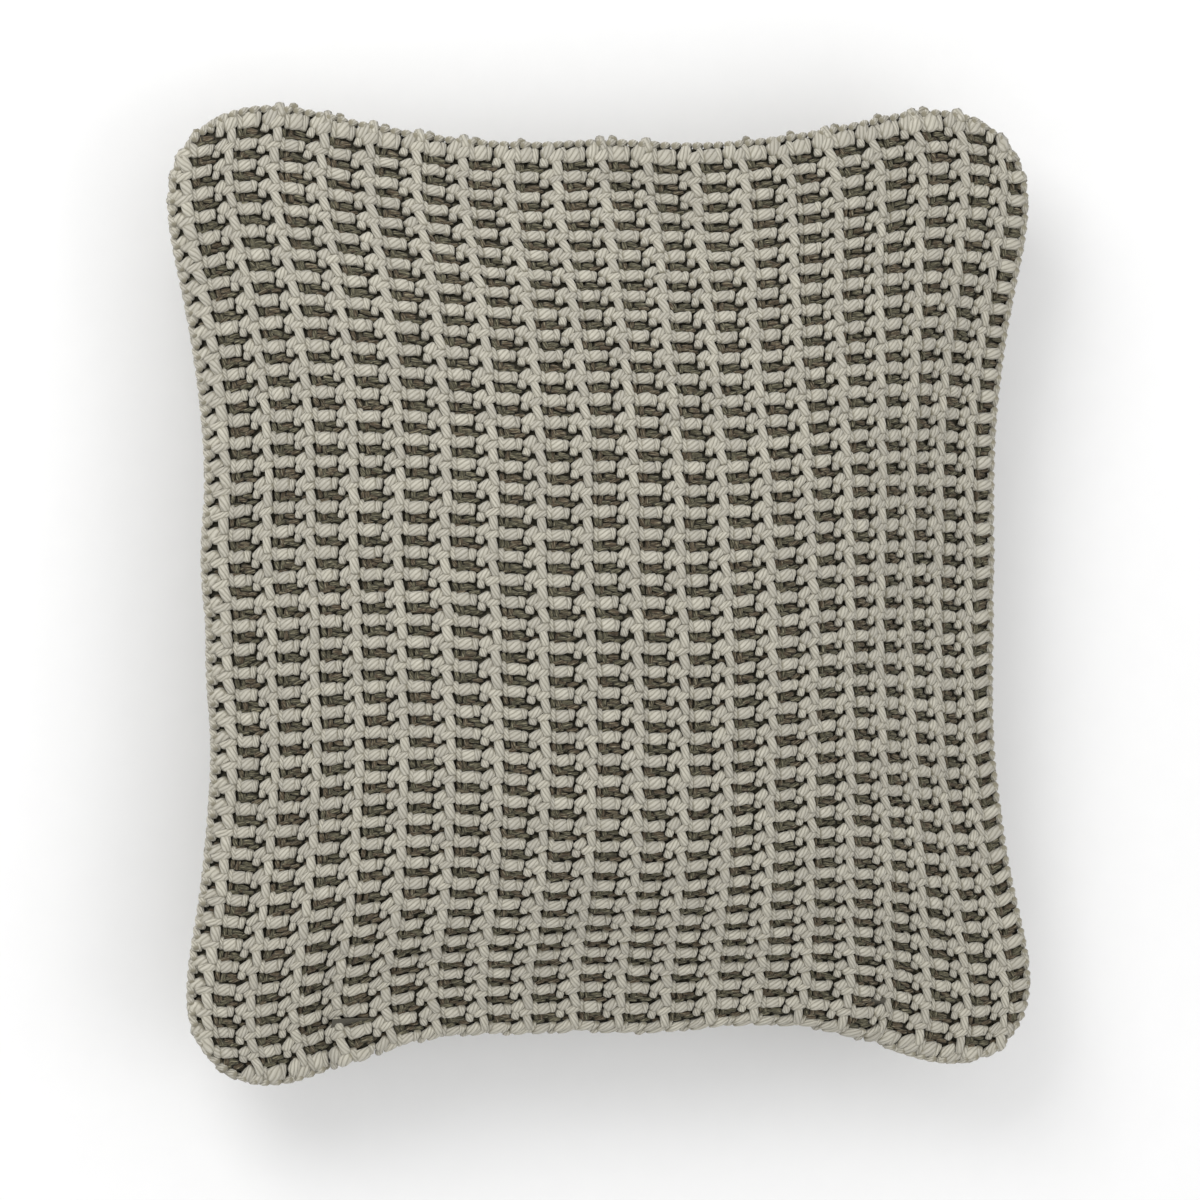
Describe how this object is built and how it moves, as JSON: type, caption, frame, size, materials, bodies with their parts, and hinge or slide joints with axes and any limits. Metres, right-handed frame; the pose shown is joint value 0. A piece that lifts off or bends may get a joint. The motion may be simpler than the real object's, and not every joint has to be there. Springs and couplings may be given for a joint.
{
  "type": "throw pillow",
  "caption": "Stuffed rectangular throw pillow with a two-colour slip-stitch knitted cover, pulled-in edges, soft corners and a short zip in its bottom edge.",
  "frame": {"origin": "on the surface the pillow lies on, under the centre of its outline", "axes": "+X across the pillow, +Y towards its top edge, +Z out of its front panel"},
  "size_m": [0.4566, 0.4993, 0.1421],
  "materials": {
    "knit_cover": "two-colour slip-stitch hand knit, ecru over dark marl",
    "seam_yarn": "plied yarn mattress seam",
    "zip_tape": "woven polyester tape",
    "zip_coil": "nylon monofilament coil",
    "zip_metal": "die-cast, lacquered",
    "stitching": "sewing thread",
    "insert_casing": "plain woven cotton",
    "fibre_fill": "polyester fibre",
    "label": "blank woven satin"
  },
  "bodies": {
    "pillow": {"cover_front_panel": "knit_cover", "cover_back_panel": "knit_cover", "seam_top": "seam_yarn", "seam_left": "seam_yarn", "seam_right": "seam_yarn", "seam_bottom_left": "seam_yarn", "seam_bottom_right": "seam_yarn", "zip_tape_front": "zip_tape", "zip_tape_back": "zip_tape", "zip_stitching_front": "stitching", "zip_stitching_back": "stitching", "zip_coil_front": "zip_coil", "zip_coil_back": "zip_coil", "zip_top_stops": "zip_metal", "zip_bottom_stop": "zip_metal", "insert_casing_front": "insert_casing", "insert_casing_back": "insert_casing", "insert_seam": "stitching", "insert_closing_seam": "stitching", "fibre_fill": "fibre_fill", "care_label": "label", "insert_label": "label"},
    "zip_slider": {"zip_slider": "zip_metal"},
    "zip_pull": {"zip_pull_tab": "zip_metal"}
  },
  "joints": [
    {"name": "zip_slide", "type": "slide", "parent": "pillow", "child": "zip_slider", "axis": [-1, 0, 0], "range_m": [0, 0.2444]},
    {"name": "pull_hinge", "type": "hinge", "parent": "zip_slider", "child": "zip_pull", "pos_m": [0.1222, -0.2205, 0.066], "axis": [0, 0, 1], "range_deg": [0, 135]}
  ]
}
